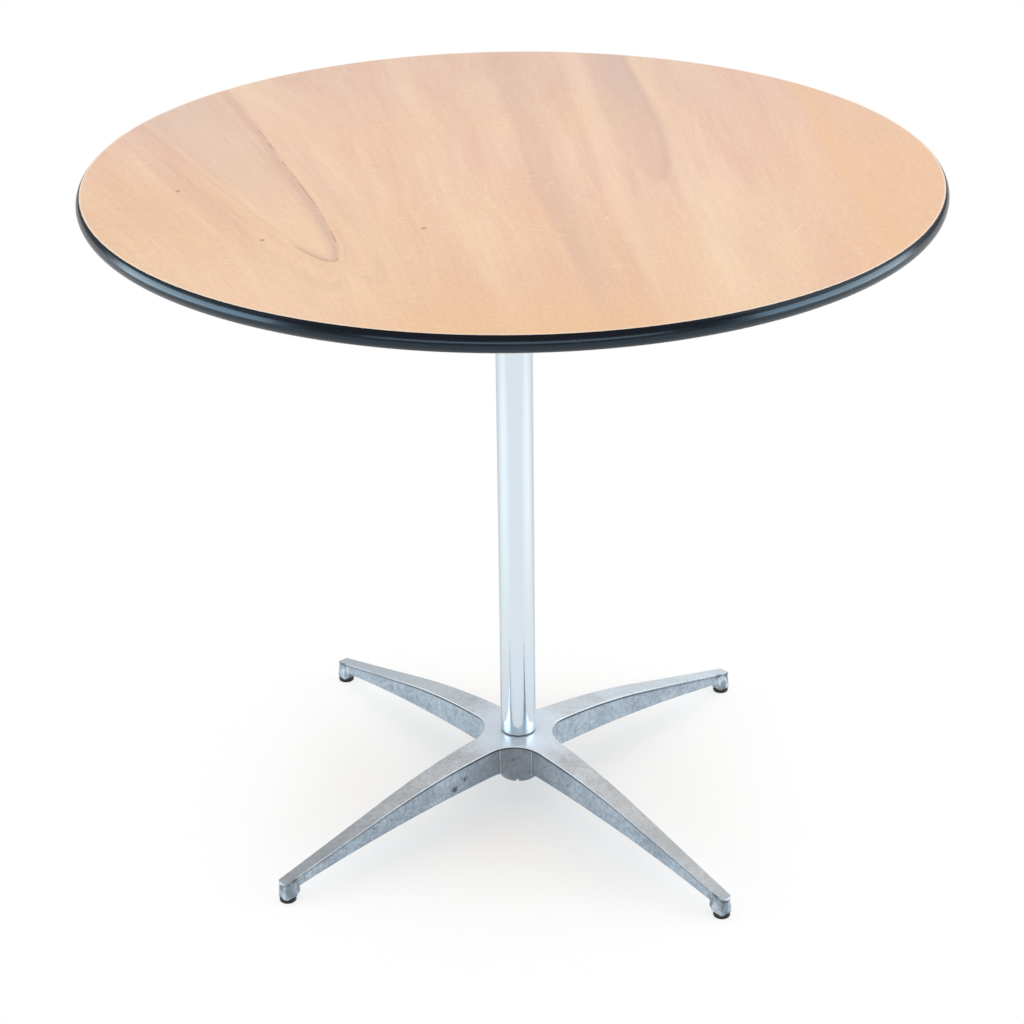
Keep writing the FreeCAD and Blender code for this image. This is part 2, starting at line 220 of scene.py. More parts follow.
class TableStudio(bpy.types.PropertyGroup):
    """Camera and light."""
    distance: FloatProperty(
        name="Distance", description="Level distance from the column to the camera",
        default=2.441, unit="LENGTH", subtype="DISTANCE")
    height: FloatProperty(
        name="Height", description="Height of the camera above the floor",
        default=1.597, unit="LENGTH", subtype="DISTANCE")
    azimuth: FloatProperty(
        name="Azimuth", description="Turn of the camera round the column, from the front",
        default=math.radians(4.47), unit="ROTATION", subtype="ANGLE")
    pitch: FloatProperty(
        name="Pitch", description="How far the camera looks down",
        default=math.radians(26.675), unit="ROTATION", subtype="ANGLE")
    yaw: FloatProperty(
        name="Yaw", description="How far the camera looks past the column",
        default=math.radians(-0.105), unit="ROTATION", subtype="ANGLE")
    roll: FloatProperty(
        name="Roll", description="Tilt of the camera about its own axis",
        default=math.radians(-0.70), unit="ROTATION", subtype="ANGLE")
    lens: FloatProperty(
        name="Lens", description="Focal length in millimetres on a 36 mm sensor", default=84.75)
    ambient: FloatProperty(
        name="Ambient", description="Level of the light from all round", default=0.68)


def sizes():
    return bpy.context.scene.table_sizes


def colours():
    return bpy.context.scene.table_colours


def studio():
    return bpy.context.scene.table_studio


# Node trees

class Signal:
    """A value in a node tree. Arithmetic on it adds Math nodes to that tree."""

    def __init__(self, tree, socket):
        self.tree = tree
        self.socket = socket

    def math(self, operation, *values):
        return self.tree.node("ShaderNodeMath", {"operation": operation}, dict(enumerate(values)))

    def __add__(self, other):
        return self.math("ADD", self, other)

    def __radd__(self, other):
        return self.math("ADD", other, self)

    def __sub__(self, other):
        return self.math("SUBTRACT", self, other)

    def __rsub__(self, other):
        return self.math("SUBTRACT", other, self)

    def __mul__(self, other):
        return self.math("MULTIPLY", self, other)

    def __rmul__(self, other):
        return self.math("MULTIPLY", other, self)

    def __truediv__(self, other):
        return self.math("DIVIDE", self, other)

    def __rtruediv__(self, other):
        return self.math("DIVIDE", other, self)

    def __abs__(self):
        return self.math("ABSOLUTE", self)

    def root(self):
        return self.math("SQRT", self)

    def least(self, other):
        return self.math("MINIMUM", self, other)

    def most(self, other):
        return self.math("MAXIMUM", self, other)

    def step(self, low, high):
        """A smooth step from 0 at low to 1 at high. It falls where high is the smaller."""
        return self.tree.node(
            "ShaderNodeMapRange", {"interpolation_type": "SMOOTHSTEP"},
            {"Value": self, "From Min": low, "From Max": high})

    def stripe(self, low, rise, fall, high):
        """A stripe that is 1 from rise to fall and fades to 0 at low and high."""
        return self.step(low, rise) * self.step(high, fall)

    def within(self, stops):
        """A step for two stops, or a stripe for four."""
        return self.step(*stops) if len(stops) == 2 else self.stripe(*stops)


# Sockets of a Mix node that mixes colours
MIX_SHARE, MIX_LOW, MIX_HIGH, MIX_RESULT = 0, 6, 7, 2


class Tree:
    """A node tree that is being filled."""

    def __init__(self, node_tree):
        self.node_tree = node_tree

    def node(self, kind, settings=None, inputs=None, output=0):
        """Adds a node of a type, with its settings, then the values or links of its sockets."""
        made = self.node_tree.nodes.new(kind)
        for name, value in (settings or {}).items():
            setattr(made, name, value)
        for name, value in (inputs or {}).items():
            self.feed(made.inputs[name], value)
        return Signal(self, made.outputs[output])

    def feed(self, socket, value):
        if isinstance(value, Signal):
            self.node_tree.links.new(value.socket, socket)
        else:
            socket.default_value = value

    def mix(self, share, low, high):
        """A colour between two colours."""
        low, high = (c if isinstance(c, Signal) else tuple(c) + (1.0,) for c in (low, high))
        return self.node(
            "ShaderNodeMix", {"data_type": "RGBA"},
            {MIX_SHARE: share, MIX_LOW: low, MIX_HIGH: high}, MIX_RESULT)

    def layers(self, colour, coats):
        """A colour with coats laid over it in turn, each a share and a colour."""
        for share, coat in coats:
            colour = self.mix(share, colour, coat)
        return colour

    def point(self, x, y, z):
        return self.node("ShaderNodeCombineXYZ", None, {"X": x, "Y": y, "Z": z})

    def noise(self, place, scale, detail, roughness=0.5):
        return self.node(
            "ShaderNodeTexNoise", None,
            {"Vector": place, "Scale": scale, "Detail": detail, "Roughness": roughness})

    def streaks(self, first, second, counts, seed, detail, roughness=0.5):
        """Noise over two distances, each with its own number of repeats in a metre."""
        place = self.point(first * counts[0], second * counts[1], seed)
        return self.noise(place, 1.0, detail, roughness)

    def parts(self, vector):
        """The three numbers of a vector."""
        split = self.node("ShaderNodeSeparateXYZ", None, {0: vector})
        return [Signal(self, output) for output in split.socket.node.outputs]

    def ray(self, kind):
        return self.node("ShaderNodeLightPath", None, None, output=kind)


class Finish(Tree):
    """A material that is being made, with the surface shader that its nodes feed."""

    def __init__(self, name, **constants):
        self.material = bpy.data.materials.new(name)
        self.material.use_nodes = True
        super().__init__(self.material.node_tree)
        self.surface = self.node_tree.nodes["Principled BSDF"]
        for constant, value in constants.items():
            socket = constant.replace("_", " ").title().replace("Ior", "IOR")
            self.surface.inputs[socket].default_value = value

    def place(self):
        """Object coordinates."""
        return self.node("ShaderNodeTexCoord", None, None, output="Object")

    def upward(self):
        """How far a face looks up: 1 on a level top, 0 on a wall and -1 underneath."""
        return self.parts(self.node("ShaderNodeNewGeometry", None, None, output="Normal"))[2]

    def set(self, socket, value):
        self.feed(self.surface.inputs[socket], value)

    def bump(self, height, distance, strength=1.0, edge=0.0):
        """Relief on the surface, with its sharp edges eased where an edge radius is given."""
        inputs = {"Height": height, "Distance": distance, "Strength": strength}
        if edge:
            inputs["Normal"] = self.node("ShaderNodeBevel", {"samples": 6}, {"Radius": edge})
        self.set("Normal", self.node("ShaderNodeBump", None, inputs))


# Veneer

# The hairpin loop: its tip, its direction, the shift of its axis, its spread and its waver, in metres
LOOP_TIP = (-0.164, -0.285)
LOOP_ANGLE = math.radians(-63)
LOOP_SHIFT = 0.015
LOOP_SPREAD = 0.0075
LOOP_WAVER = 0.012
# The mauve heart: its tip, direction and sizes, the round share of its end, and how far it wanders
HEART_TIP = (0.158, -0.031)
HEART_ANGLE = math.radians(-80)
HEART_LENGTH = 0.211
HEART_HALF_WIDTH = 0.038
HEART_ROUND = 0.4
HEART_DRIFT = 0.016
HEART_WAVER = 0.020
# How far the grain wanders, in metres, and how it fans out to the left and to the right
LANE_DRIFT = 0.030
LANE_WAVER = 0.004
FAN_LEFT = 0.30
FAN_RIGHT = 0.09
# Zones where the board's colour shifts: colour, share, and the stops in x and y over which it fades in
ZONES = (
    ("veneer_rose", 0.85, (0.22, 0.44), None),
    ("veneer_warm", 0.50, (0.24, 0.42), None),
    ("veneer_rose", 0.60, (-0.12, 0.06), (-0.20, -0.40)),
    ("veneer_warm", 0.35, (-0.08, 0.10), (-0.22, -0.44)),
    ("veneer_warm", 0.65, (-0.12, 0.0), (-0.30, -0.44)),
    ("veneer_pale", 0.40, (-0.02, -0.16), (-0.12, -0.36)),
    ("veneer_pale", 0.40, (0.15, 0.22, 0.28, 0.34), (0.05, -0.10)),
)
# Growth bands with one sharp edge: place of that edge across the grain, width, share and colour
GROWTH_BANDS = (
    (-0.108, 0.020, 0.45, "veneer_rose"),
    (-0.085, 0.050, 0.40, "veneer_pale"),
    (0.013, 0.060, 0.45, "veneer_heart"),
    (0.085, 0.050, 0.45, "veneer_pale"),
    (0.168, 0.045, 0.60, "veneer_pale"),
    (0.262, 0.060, 0.40, "veneer_rose"),
    (0.340, 0.050, 0.45, "veneer_warm"),
)
# Width of a growth band's sharp edge, and the places of the pin knots, in metres
SHARP_EDGE = 0.010
PIN_KNOTS = ((-0.342, -0.081), (-0.2295, -0.2218), (-0.0743, -0.1806))
# Scratches: direction and seed
SCRATCHES = ((0.06, 3.0), (-0.22, 11.0), (1.25, 19.0))
SCRATCH_AND_RIM_HIGHLIGHT_TONE = srgb(252, 236, 220)
UNDERSIDE_TONE = srgb(206, 172, 138)
# How far in from the panel's edge its painted rim highlight starts and is full, in metres
RIM_HIGHLIGHT_START = 0.0024
RIM_HIGHLIGHT_FULL = 0.0012


def along_and_across(x, y, origin, angle):
    """Distances along and across a direction from an origin on the top."""
    dx, dy = x - origin[0], y - origin[1]
    along = dx * math.cos(angle) + dy * math.sin(angle)
    across = dy * math.cos(angle) - dx * math.sin(angle)
    return along, across


class Grain:
    """Places on the veneer, and the noises that its figure is made of."""

    def __init__(self, make):
        place = make.place()
        self.x, self.y = make.parts(place)[:2]
        self.drift = make.noise(place, 3.0, 3.0) - 0.5
        self.waver = make.noise(place, 14.0, 2.0) - 0.5
        self.along, across = along_and_across(self.x, self.y, (0.0, 0.0), sizes().grain_angle)
        fan = FAN_LEFT * across.step(-0.09, -0.36) - FAN_RIGHT * across.step(-0.09, 0.15)
        self.lane = across - self.along * fan + LANE_DRIFT * self.drift + LANE_WAVER * self.waver
        self.broad = make.streaks(self.lane, self.along, (26.0, 2.0), 0.0, 3.0, 0.55)
        self.narrow = make.streaks(self.lane, self.along, (85.0, 8.0), 4.0, 3.0, 0.6)
        self.thread = make.streaks(self.lane, self.along, (420.0, 9.0), 8.0, 2.0, 0.6)
        self.pores = make.streaks(self.lane, self.along, (1000.0, 38.0), 2.0, 1.0)
        self.fleck = make.streaks(self.lane, self.along, (260.0, 110.0), 30.0, 3.0, 0.65)
        self.cloud = make.streaks(self.x, self.y, (2.6, 2.6), 6.0, 2.0)


def ground_coats(grain):
    """Coats of the plain board: warm clouds, streaks, zones, a lilac haze that is partly painted sheen
    towards the back, flecks and growth bands.
    """
    tint = colours()
    x, y, narrow, fleck = grain.x, grain.y, grain.narrow, grain.fleck
    coats = [
        (0.35 * grain.cloud.step(0.42, 0.66), tint.veneer_warm),
        (0.78 * y.step(-0.02, -0.47), tint.veneer_warm),
        (0.36 * narrow.step(0.56, 0.26), tint.veneer_rose),
        (0.36 * narrow.step(0.46, 0.76), tint.veneer_pale),
    ]
    for colour, share, x_stops, y_stops in ZONES:
        zone = share * x.within(x_stops)
        if y_stops is not None:
            zone = zone * y.within(y_stops)
        coats.append((zone, getattr(tint, colour)))
    # Lilac haze towards the back and the back left: partly the veneer's own tone, partly painted sheen
    haze = (0.42 * y.step(0.05, 0.45)).most(0.50 * y.step(-0.02, 0.20) * x.step(-0.24, -0.42))
    coats += [
        (haze, tint.veneer_cool),
        (0.28 * fleck.step(0.56, 0.34), tint.veneer_rose),
        (0.28 * fleck.step(0.46, 0.68), tint.veneer_pale),
    ]
    towards_front = y.step(-0.26, -0.40)
    for edge, width, share, colour in GROWTH_BANDS:
        band = grain.lane.stripe(edge, edge + SHARP_EDGE, edge + 0.3 * width, edge + width)
        band = band * (1.0 - 0.65 * towards_front)
        coats.append((share * band * (0.6 + 0.4 * narrow), getattr(tint, colour)))
    return coats


def loop_coats(make, grain):
    """Coats of the hairpin loop, and the dark lines that lie over the pores.

    A point that is a along the loop's axis and b across it lies (a + b^2 / s) / sqrt(1 + (2 b / s)^2)
    outside the loop, where s is the spread.
    """
    tint = colours()
    along, across = along_and_across(grain.x, grain.y, LOOP_TIP, LOOP_ANGLE)
    bent = across - LOOP_SHIFT + LOOP_WAVER * grain.drift
    slope = 2.0 / LOOP_SPREAD * bent
    loop = along + bent * bent / LOOP_SPREAD + LOOP_WAVER * grain.waver
    loop = loop / (1.0 + slope * slope).root()
    streak = make.streaks(loop, along, (110.0, 2.4), 12.0, 3.0, 0.6)
    gaps = make.streaks(along, across, (30.0, 12.0), 21.0, 2.0).step(0.40, 0.62)
    right_leg = bent.step(-0.020, 0.004)
    front = grain.along.step(-0.05, 0.30)
    beside = loop.stripe(0.0, 0.008, 0.024, 0.060) * right_leg * (1.0 - front)
    near = loop.stripe(-0.060, -0.020, 0.010, 0.050)
    shade = loop.stripe(-0.030, -0.002, -0.001, 0.003) * right_leg * along.step(-0.60, -0.30)
    coats = [
        (0.45 * beside * (0.5 + grain.narrow), tint.veneer_pale),
        (0.30 * loop.step(0.004, -0.012), tint.veneer_pale),
        (0.28 * loop.step(0.002, -0.040) * along.step(-0.10, -0.30), tint.veneer_cool),
        (0.30 * near * streak.step(0.60, 0.34) + 0.50 * shade, tint.veneer_heart),
    ]
    line = abs(loop).step(0.0016, 0.0003) * along.step(-0.52, -0.36) * right_leg
    tail = abs(loop).step(0.0030, 0.0006) * bent.step(0.0, -0.006) * along.step(-0.075, -0.045)
    lines = [((0.45 * gaps * line).most(0.30 * tail), tint.veneer_line)]
    return coats, lines


def heart_coats(make, grain):
    """Coats of the mauve heart, a blunt tongue.

    A point that is a along its axis and s half widths across it lies (a + bow(s)) / sqrt(1 + slope(s)^2)
    outside, where bow is the length times r s^2 + (1 - r) s^4, and r is the round share.
    """
    tint = colours()
    along, across = along_and_across(grain.x, grain.y, HEART_TIP, HEART_ANGLE)
    half_width = HEART_HALF_WIDTH * (1.0 - 0.40 * along.step(-0.15, -0.45))
    side = (across + HEART_DRIFT * grain.drift) / half_width
    square = side * side
    blunt = 1 - HEART_ROUND
    slope = HEART_LENGTH / HEART_HALF_WIDTH * side * (2 * HEART_ROUND + 4 * blunt * square)
    bow = HEART_LENGTH * square * (HEART_ROUND + blunt * square)
    heart = (along + bow + HEART_WAVER * grain.waver) / (1.0 + slope * slope).root()
    streak = make.streaks(heart, along, (90.0, 2.0), 16.0, 3.0, 0.6)
    inside = heart.step(0.006, -0.016) * (0.45 + 0.55 * side.step(-0.95, 0.30))
    rim = heart.step(-0.034, -0.003) * inside * side.step(-0.4, 0.5)
    return [
        (0.18 * heart.step(0.050, 0.010) * streak.step(0.60, 0.34), tint.veneer_heart),
        (inside * (0.15 + 0.50 * grain.broad) + 0.40 * rim, tint.veneer_heart),
        (0.40 * inside * along.step(-0.18, -0.36), tint.veneer_cool),
    ]


def pore_coats(grain):
    """Coats of the fine threads and pores along the grain."""
    tint = colours()
    return [
        (0.12 * grain.thread.step(0.54, 0.28), tint.veneer_heart),
        (0.13 * grain.thread.step(0.48, 0.74), tint.veneer_pale),
        (0.06 * grain.pores.step(0.58, 0.70), tint.veneer_line),
    ]


def knot_coats(grain):
    """Coats of the pin knots, small spots drawn out along y."""
    coats = []
    for knot_x, knot_y in PIN_KNOTS:
        dx, dy = grain.x - knot_x, grain.y - knot_y
        spot = (dx * dx + dy * dy * 0.4).root()
        coats.append((0.60 * spot.step(0.0034, 0.0010), colours().veneer_line))
    return coats


def scratch_marks(make, grain):
    """Thin scratches in several directions, as a mask."""
    marks = []
    for turn, seed in SCRATCHES:
        run, cross = along_and_across(grain.x, grain.y, (0.0, 0.0), turn)
        marks.append(make.streaks(run, cross, (24.0, 560.0), seed, 1.0).step(0.69, 0.77))
    return reduce(Signal.most, marks)


def veneer_finish():
    """Lacquered rotary-cut veneer: streaks, two looped figures, pores, pin knots and scratches."""
    tint = colours()
    make = Finish("birch_plywood", specular_ior_level=0.30)
    grain = Grain(make)
    loop, lines = loop_coats(make, grain)
    marks = scratch_marks(make, grain)
    worn = grain.cloud.step(0.38, 0.56)
    under = make.upward().step(0.0, -0.5)
    edge = radius_of("tabletop_panel")
    out = (grain.x * grain.x + grain.y * grain.y).root()
    wear_and_painted_light = [
        (0.70 * marks * worn, SCRATCH_AND_RIM_HIGHLIGHT_TONE),
        # Painted highlight along the panel's rim
        (0.6 * out.step(edge - RIM_HIGHLIGHT_START, edge - RIM_HIGHLIGHT_FULL), SCRATCH_AND_RIM_HIGHLIGHT_TONE),
        (0.8 * under, UNDERSIDE_TONE),
    ]
    wood = make.mix(grain.broad.step(0.36, 0.64), tint.veneer_rose, tint.veneer)
    wood = make.layers(wood, ground_coats(grain) + loop + heart_coats(make, grain))
    wood = make.layers(wood, pore_coats(grain) + lines + knot_coats(grain) + wear_and_painted_light)
    make.set("Base Color", wood)
    make.set("Roughness", 0.48 + 0.10 * (grain.narrow - 0.5) + 0.12 * marks + 0.25 * under)
    make.bump(0.6 * grain.thread + 0.4 * grain.pores, 0.00012)
    return make.material


# Vinyl, chrome, zinc and nylon

VINYL_SHINE_TINT = (0.54, 0.78, 1.0, 1.0)
ZINC_BLOOM_TONE = srgb(186, 178, 156)
NYLON_WORN_TONE = srgb(60, 60, 62)


def vinyl_finish():
    """Glossy black extruded vinyl with faint scuffs along its length."""
    make = Finish("black_vinyl", base_color=tuple(colours().vinyl) + (1.0,), specular_ior_level=0.62,
                  specular_tint=VINYL_SHINE_TINT)
    place = make.place()
    x, y, z = make.parts(place)
    wave = make.noise(place, 22.0, 2.0)
    scuff = make.noise(make.point(x * 60.0, y * 60.0, z * 1400.0), 1.0, 2.0)
    make.set("Roughness", 0.20 + 0.10 * (wave - 0.5) + 0.14 * scuff.step(0.62, 0.74))
    make.bump(wave, 0.0006, 0.4)
    return make.material


def chrome_finish():
    """Bright chrome plate with polishing lines up the tube and a few dull specks."""
    tint = colours()
    make = Finish("chrome_plate", metallic=1.0)
    place = make.place()
    x, y, z = make.parts(place)
    polish = make.noise(make.point(x * 900.0, y * 900.0, z * 5.0), 1.0, 2.0)
    speck = make.noise(place, 240.0, 1.0).step(0.77, 0.83)
    make.set("Base Color", make.mix(0.3 * speck, tint.chrome, tint.casting_stain))
    make.set("Roughness", 0.018 + 0.02 * polish + 0.25 * speck)
    make.bump(polish, 0.00001)
    return make.material


def zinc_finish():
    """Zinc-plated steel: grey with a faint warm bloom."""
    make = Finish("zinc_steel", metallic=1.0)
    place = make.place()
    bloom = make.noise(place, 90.0, 3.0)
    spangle = make.noise(place, 500.0, 2.0)
    make.set("Base Color", make.mix(0.4 * bloom.step(0.45, 0.70), colours().zinc, ZINC_BLOOM_TONE))
    make.set("Roughness", 0.34 + 0.16 * (spangle - 0.5))
    make.bump(spangle, 0.00004)
    return make.material


def nylon_finish():
    """Moulded black nylon, matte with a fine grain and scuffed where it is worn."""
    make = Finish("black_nylon")
    place = make.place()
    grain = make.noise(place, 900.0, 2.0)
    worn = make.noise(place, 130.0, 3.0).step(0.56, 0.72)
    make.set("Base Color", make.mix(0.25 * worn, colours().nylon, NYLON_WORN_TONE))
    make.set("Roughness", 0.46 + 0.14 * (grain - 0.5) + 0.12 * worn)
    make.bump(grain, 0.00006)
    return make.material


# Casting

# Tones of the sides and of the upper faces
SIDE_SMEAR = srgb(150, 163, 176)
SIDE_SAND = srgb(205, 214, 222)
SIDE_DARK = srgb(126, 135, 142)
SIDE_LIGHT = srgb(212, 219, 224)
TOP_SMEAR = srgb(176, 182, 188)
TOP_DARK = srgb(150, 155, 160)
TOP_BRUSHED = srgb(232, 235, 238)
# Tones of the painted highlights, sheen and shade on the base
HUB_HIGHLIGHT = srgb(230, 243, 255)
LEFT_TOP_SHADE = srgb(126, 135, 144)
BACK_TOP_SHEEN = srgb(224, 238, 248)
FRONT_RIGHT_TOP_SHADE = srgb(150, 152, 154)
POCKET_SHADE = srgb(94, 94, 94)
CREASE_SHADE = srgb(58, 60, 62)
RIDGE_HIGHLIGHT = srgb(208, 208, 208)
DENT_SHADE = srgb(86, 94, 100)
DENT_HIGHLIGHT = srgb(222, 230, 236)
LIP_HIGHLIGHT = srgb(238, 244, 249)
UNDER_LIP_SHADE = srgb(34, 38, 42)
STAIN_DARK = srgb(60, 66, 63)
# Dark stains left by the casting on the walls of the front left arm: place and size, in metres
STAINS = (
    ((-0.0679, -0.0866, 0.0514), 0.0050),
    ((-0.0568, -0.0764, 0.0586), 0.0030),
    ((-0.1528, -0.1656, 0.0468), 0.0018),
)


def crown_height(out):
    """Height of the base's upper surface at a distance from the column: a dome, then a straight fall."""
    fall = CROWN_REACH / math.sqrt(CROWN_RADIUS ** 2 - CROWN_REACH ** 2)
    level = out.least(CROWN_REACH)
    dome = CROWN_HEIGHT - CROWN_RADIUS + (CROWN_RADIUS ** 2 - level * level).root()
    return dome - (out - CROWN_REACH).most(0.0) * fall


def base_stains_and_painted_light(make, place, top, smear, sand, mottle):
    """Coats on the base: painted highlights on the hub, ridges, dents and lip, painted sheen and shade on the
    arms' tops, painted shade in the pockets, creases, dents and under the lip, and stains.
    """
    x, y, z = make.parts(place)
    out = (x * x + y * y).root()
    depth = crown_height(out) - z
    wall = 1.0 - top
    # Painted shade on the walls of the pockets between the arms, under the hub's lip
    pocket = (abs(y) - abs(x)).step(-0.010, 0.020).most(out.step(0.030, 0.024))
    pocket = 0.48 * out.step(0.120, 0.045) * wall * pocket
    boss = abs(x).least(abs(y))
    beside = out.step(0.075, 0.060) * wall
    # Painted shade in a thin crease where the boss meets the walls, and a painted highlight line just inside
    # it
    crease = boss.stripe(0.0190, 0.0196, 0.0200, 0.0208) * beside
    ridge = boss.stripe(0.0176, 0.0182, 0.0188, 0.0194) * beside
    foot = out.step(0.322, 0.330) * wall
    # Painted light and shade that stand for dents on the feet
    dent = make.noise(make.point(x, y, z * 0.7), 95.0, 2.0)
    # Painted highlight along the edge of the lip
    lip = depth.step(LIP_THICKNESS - 0.0002, LIP_THICKNESS - 0.0006) * wall * (1.0 - foot)
    # Painted shade in the step under the lip, darkest towards the hub
    under_lip_shade = depth.stripe(
        LIP_THICKNESS - 0.0003, LIP_THICKNESS, LIP_THICKNESS + 0.0012, LIP_THICKNESS + 0.0038) * wall
    under_lip_shade = under_lip_shade * (0.45 + 0.55 * out.step(0.26, 0.10)) * (0.6 + 0.8 * smear)
    coats = [
        # Painted highlight on the hub's top round the column
        (0.70 * top * out.step(0.085, 0.040), HUB_HIGHLIGHT),
        # Painted shade on the tops of the left arms
        (0.32 * top * x.step(-0.08, -0.16) * out.step(0.18, 0.27), LEFT_TOP_SHADE),
        # Painted sheen on the back arms' tops, and painted shade on the front right arm's top
        (0.50 * top * y.step(0.03, 0.15), BACK_TOP_SHEEN),
        (0.28 * top * x.step(0.03, 0.12) * y.step(-0.03, -0.12), FRONT_RIGHT_TOP_SHADE),
        (pocket * (0.7 + 0.6 * mottle), POCKET_SHADE),
        (0.40 * crease, CREASE_SHADE),
        (0.50 * ridge * (0.4 + mottle), RIDGE_HIGHLIGHT),
        (0.55 * foot * dent.step(0.58, 0.42), DENT_SHADE),
        (0.45 * foot * dent.step(0.52, 0.66), DENT_HIGHLIGHT),
        (lip * (0.35 + 0.50 * out.step(0.27, 0.12)), LIP_HIGHLIGHT),
        (under_lip_shade.least(1.0), UNDER_LIP_SHADE),
    ]
    ragged = 0.008 * (sand - 0.5) + 0.006 * (mottle - 0.5)
    for centre, size in STAINS:
        away = make.node(
            "ShaderNodeVectorMath", {"operation": "DISTANCE"}, {0: place, 1: centre}, "Value")
        coats.append((0.8 * (away + ragged).step(size, 0.3 * size), STAIN_DARK))
    return coats


def casting_finish(name, wear_and_painted_light=None):
    """Sand-cast aluminium: brushed on its upper faces, pitted and blue-grey on its sides.

    The further coats, where there are any, come from a function of the surface's place and noises: on the
    base, stains and painted highlights, sheen and shade.
    """
    tint = colours()
    make = Finish(name, metallic=0.65)
    place = make.place()
    x, y, z = make.parts(place)
    top = make.upward().step(0.55, 0.85)
    first, second = abs(x + y) * math.sqrt(0.5), abs(x - y) * math.sqrt(0.5)
    along, across = first.most(second), first.least(second)
    brushed = make.streaks(along, across, (22.0, 900.0), 1.0, 3.0, 0.6)
    smear = make.noise(place, 26.0, 3.0)
    sand = make.noise(place, 420.0, 2.0, 0.6)
    pit = make.noise(place, 150.0, 2.0).step(0.66, 0.74)
    stain = make.noise(make.point(x, y, z * 0.6), 48.0, 2.0).step(0.69, 0.78)
    mottle = make.noise(place, 190.0, 4.0, 0.7)
    side_tone = make.layers(tint.casting_side, [
        (0.70 * smear.step(0.38, 0.62), SIDE_SMEAR),
        (0.45 * sand.step(0.55, 0.70), SIDE_SAND),
        (0.40 * mottle.step(0.54, 0.38), SIDE_DARK),
        (0.35 * mottle.step(0.52, 0.68), SIDE_LIGHT),
        (0.75 * stain.most(0.8 * pit), tint.casting_stain),
    ])
    top_tone = make.layers(tint.casting_top, [
        (0.50 * smear.step(0.40, 0.68), TOP_SMEAR),
        (0.35 * mottle.step(0.60, 0.36), TOP_DARK),
        (0.30 * brushed.step(0.58, 0.74), TOP_BRUSHED),
    ])
    tone = make.mix(top, side_tone, top_tone)
    if wear_and_painted_light is not None:
        tone = make.layers(tone, wear_and_painted_light(make, place, top, smear, sand, mottle))
    make.set("Base Color", tone)
    rough = 0.52 + 0.12 * (smear - 0.5)
    make.set("Roughness", rough - top * (0.14 + 0.10 * (brushed - 0.5)))
    cast_relief = (0.5 * sand + 0.5 * mottle - 0.9 * pit) * (1.0 - 0.8 * top)
    make.bump(cast_relief + 0.12 * brushed * top, 0.0005, 1.0, 0.0009)
    return make.material


def dress(node, material):
    """Gives a node of the frame its material."""
    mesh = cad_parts[node].data
    mesh.materials.clear()
    mesh.materials.append(material)


# Surfaces on a grid

def grid_faces(rows, columns, wrap_rows, wrap_columns, start):
    """Four-sided faces between neighbours of a grid whose points are numbered row by row."""
    row = np.arange(rows if wrap_rows else rows - 1)
    column = np.arange(columns if wrap_columns else columns - 1)
    row, column = (part.ravel() for part in np.meshgrid(row, column, indexing="ij"))
    next_row, next_column = (row + 1) % rows, (column + 1) % columns
    corners = [row * columns + column, row * columns + next_column,
               next_row * columns + next_column, next_row * columns + column]
    return np.stack(corners, axis=1) + start


def add_piece(name, surfaces, material, body, replaces, sharp=PLAIN_SHARP):
    """Makes one mesh of grid surfaces, each (points, wrap_rows, wrap_columns), and sets it on its body."""
    points, faces, count = [], [], 0
    for grid, wrap_rows, wrap_columns in surfaces:
        rows, columns = grid.shape[:2]
        points.append(grid.reshape(-1, 3))
        faces.append(grid_faces(rows, columns, wrap_rows, wrap_columns, count))
        count += rows * columns
    mesh = bpy.data.meshes.new(name)
    mesh.from_pydata(np.concatenate(points).tolist(), [], np.concatenate(faces).tolist())
    shape = bmesh.new()
    shape.from_mesh(mesh)
    bmesh.ops.remove_doubles(shape, verts=shape.verts, dist=WELD_DISTANCE)
    bmesh.ops.dissolve_degenerate(shape, edges=shape.edges, dist=SLIVER_DISTANCE)
    bmesh.ops.holes_fill(shape, edges=shape.edges)
    bmesh.ops.recalc_face_normals(shape, faces=shape.faces)
    shape.to_mesh(mesh)
    shape.free()
    mesh.polygons.foreach_set("use_smooth", np.ones(len(mesh.polygons), dtype=bool))
    mesh.set_sharp_from_angle(angle=math.radians(sharp))
    mesh.materials.append(material)
    piece = bpy.data.objects.new(name, mesh)
    bpy.context.scene.collection.objects.link(piece)
    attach(piece, body)
    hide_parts(*replaces)


def full_turn(segments):
    """Angles of one turn in equal steps."""
    return np.linspace(0.0, TURN, segments, endpoint=False)


def round_grid(radius, height, turn, centre=(0.0, 0.0)):
    """Points of a round surface, one row for each angle: x = r cos t, y = r sin t, z = h."""
    turn = turn[:, None]
    x, y = centre[0] + radius * np.cos(turn), centre[1] + radius * np.sin(turn)
    return np.stack(np.broadcast_arrays(x, y, height), axis=-1)


def revolved(profile, turn, centre=(0.0, 0.0)):
    """A profile of (radius, height) carried round an upright axis."""
    radius, height = np.asarray(profile, dtype=float).T
    return round_grid(radius, height, turn, centre)


def eased(corners):
    """A profile whose corners (radius, height, rounding) become quadratic curves between their two sides."""
    points = np.asarray(corners, dtype=float)
    place, ease = points[:, :2], points[:, 2:]
    share = np.linspace(0.0, 1.0, EASE_STEPS)[:, None, None]
    before, after = np.roll(place, 1, axis=0) - place, np.roll(place, -1, axis=0) - place
    before = before / np.linalg.norm(before, axis=1, keepdims=True)
    after = after / np.linalg.norm(after, axis=1, keepdims=True)
    start, end = place + before * ease, place + after * ease
    curve = (1 - share) ** 2 * start + 2 * share * (1 - share) * place + share ** 2 * end
    return curve.transpose(1, 0, 2).reshape(-1, 2)


